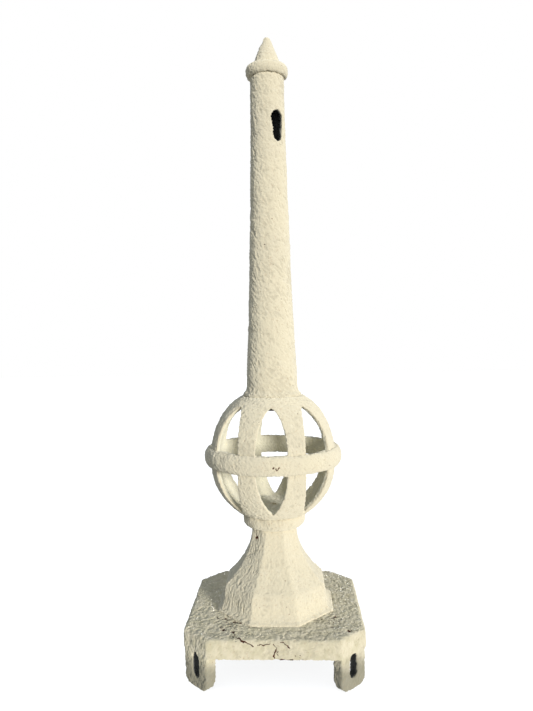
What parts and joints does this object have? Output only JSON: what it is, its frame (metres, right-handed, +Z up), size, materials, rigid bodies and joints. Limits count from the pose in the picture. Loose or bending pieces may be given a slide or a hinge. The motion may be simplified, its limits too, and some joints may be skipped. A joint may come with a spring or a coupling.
{
  "type": "garden obelisk",
  "caption": "Cast-iron garden obelisk: slotted square post cap, octagonal pedestal, openwork ball with a bead ring, and a hollow tapered spire with a pointed tip.",
  "frame": {"origin": "on the ground under the axis, at the centre of the bounding box's bottom face", "axes": "+Z up along the spire's axis, -Y to the front, +X to the right"},
  "size_m": [0.231, 0.231, 0.838],
  "materials": {
    "cream_paint": "thick brushed cream oil paint, satin, lumpy over rough cast iron",
    "bare_iron": "bare iron with brown surface rust"
  },
  "bodies": {
    "root": {"base_plate": "cream_paint", "pedestal": "cream_paint", "pedestal_screw_1": "bare_iron", "pedestal_screw_2": "bare_iron", "pedestal_screw_3": "bare_iron", "pedestal_screw_4": "bare_iron", "neck_collar": "cream_paint", "lower_cage": "cream_paint", "lower_cage_bolt": "cream_paint", "lower_cage_washer": "bare_iron", "lower_cage_nut": "bare_iron", "equator_ring": "cream_paint", "ring_screw_1": "cream_paint", "ring_screw_2": "cream_paint", "ring_screw_3": "cream_paint", "ring_screw_4": "cream_paint", "ring_screw_5": "cream_paint", "ring_screw_6": "cream_paint", "ring_screw_7": "cream_paint", "ring_screw_8": "cream_paint", "upper_cage": "cream_paint", "spire_washer": "bare_iron", "spire_bolt": "bare_iron", "shaft": "cream_paint", "cap_ring": "cream_paint", "tip": "cream_paint", "cap_pin": "cream_paint"}
  },
  "joints": []
}
